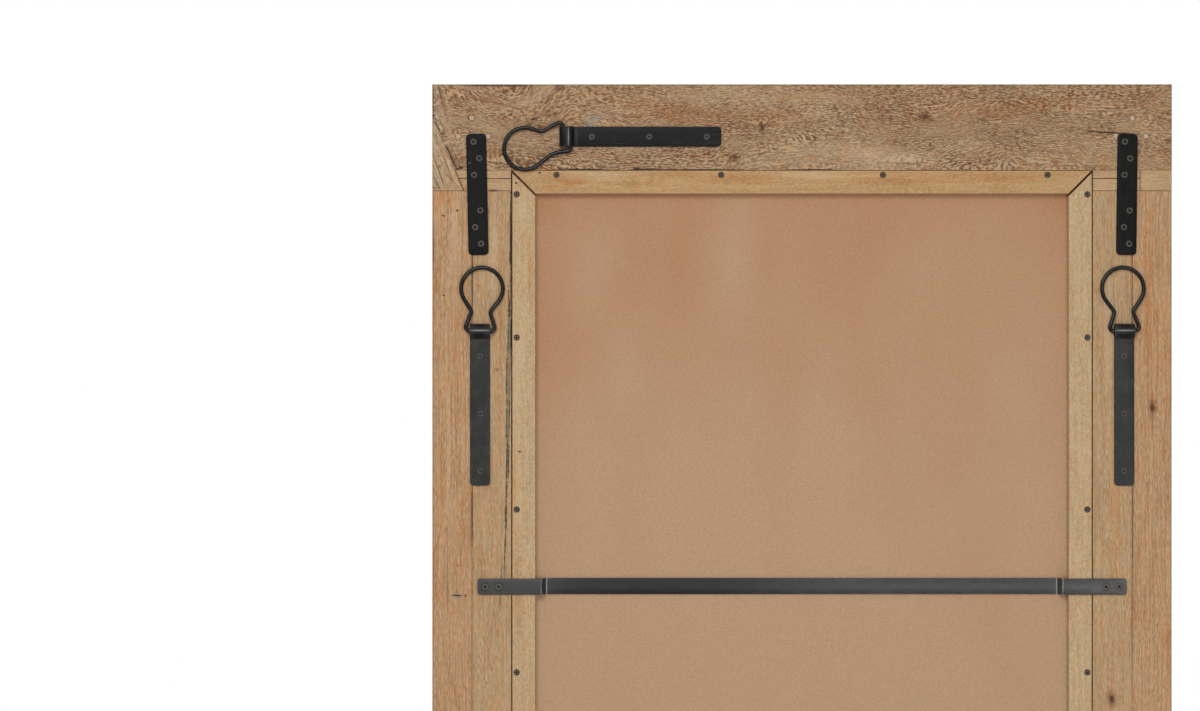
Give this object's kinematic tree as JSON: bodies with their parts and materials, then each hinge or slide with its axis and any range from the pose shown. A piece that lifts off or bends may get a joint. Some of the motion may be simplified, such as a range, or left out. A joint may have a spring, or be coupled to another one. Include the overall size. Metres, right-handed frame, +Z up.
{
  "type": "floor mirror",
  "caption": "Tall floor mirror in a pegged reclaimed-wood frame, with battens, corner plates, cross bars and hinged hanging rings on its back.",
  "frame": {"origin": "middle of the bottom face, on the floor", "axes": "+Z up, the glass faces -Y, the hardware is on the back towards +Y; seen from behind, +X is left"},
  "size_m": [0.914, 0.0544, 1.87],
  "materials": {
    "rail_wood": "waxed reclaimed softwood, tan brown with a lively grain",
    "outer_board_wood": "waxed reclaimed softwood, pinkish orange straight grain",
    "inner_board_wood": "waxed reclaimed softwood, beige straight grain",
    "patch_wood": "pale patch with a slanting grain",
    "filler_wood": "planed strips, end to end with the boards",
    "peg_wood": "end grain of whittled pegs",
    "batten_wood": "planed yellowish battens",
    "backing_board": "smooth brown hardboard",
    "mirror": "silvered float glass",
    "setting_block_rubber": "black rubber",
    "plate_steel": "satin black",
    "strap_steel": "satin black, slightly worn",
    "cross_bar_steel": "dark grey with fine streaks",
    "ring_steel": "satin black wire",
    "screw_steel": "dark phosphated steel with a cross recess"
  },
  "bodies": {
    "mirror": {"top_rail": "rail_wood", "bottom_rail": "rail_wood", "left_stile_outer_board": "outer_board_wood", "right_stile_outer_board": "outer_board_wood", "left_stile_inner_board": "inner_board_wood", "right_stile_inner_board": "inner_board_wood", "tenon_pegs": "peg_wood", "top_left_corner_patch": "patch_wood", "mirror_glass": "mirror", "backing_panel": "backing_board", "glass_setting_blocks": "setting_block_rubber", "top_batten": "batten_wood", "bottom_batten": "batten_wood", "left_batten": "batten_wood", "right_batten": "batten_wood", "batten_screws": "screw_steel", "corner_plate_screws": "screw_steel", "cross_bar_screws": "screw_steel", "hanger_screws": "screw_steel", "upper_cross_bar": "cross_bar_steel", "lower_cross_bar": "cross_bar_steel", "top_left_rebate_fillers": "filler_wood", "top_left_corner_plate": "plate_steel", "top_right_rebate_fillers": "filler_wood", "top_right_corner_plate": "plate_steel", "bottom_left_rebate_fillers": "filler_wood", "bottom_left_corner_plate": "plate_steel", "bottom_right_rebate_fillers": "filler_wood", "bottom_right_corner_plate": "plate_steel", "left_stile_hanger_strap": "strap_steel", "right_stile_hanger_strap": "strap_steel", "top_rail_hanger_strap": "strap_steel", "bottom_rail_hanger_strap": "strap_steel"},
    "left_stile_ring": {"left_stile_hanger_ring": "ring_steel"},
    "right_stile_ring": {"right_stile_hanger_ring": "ring_steel"},
    "top_rail_ring": {"top_rail_hanger_ring": "ring_steel"},
    "bottom_rail_ring": {"bottom_rail_hanger_ring": "ring_steel"}
  },
  "joints": [
    {"name": "left_stile_ring_hinge", "type": "hinge", "parent": "mirror", "child": "left_stile_ring", "pos_m": [0.3979, 0.0272, 1.565], "axis": [-0.9989, 0, -0.0471], "range_deg": [0, 181.5]},
    {"name": "right_stile_ring_hinge", "type": "hinge", "parent": "mirror", "child": "right_stile_ring", "pos_m": [-0.3979, 0.0272, 1.565], "axis": [-0.9994, 0, 0.0349], "range_deg": [0, 181.5]},
    {"name": "top_rail_ring_hinge", "type": "hinge", "parent": "mirror", "child": "top_rail_ring", "pos_m": [0.291, 0.0272, 1.8051], "axis": [0.309, 0, 0.9511], "range_deg": [0, 181.5]},
    {"name": "bottom_rail_ring_hinge", "type": "hinge", "parent": "mirror", "child": "bottom_rail_ring", "pos_m": [0.291, 0.0272, 0.0649], "axis": [0.225, 0, 0.9744], "range_deg": [0, 181.5]}
  ]
}
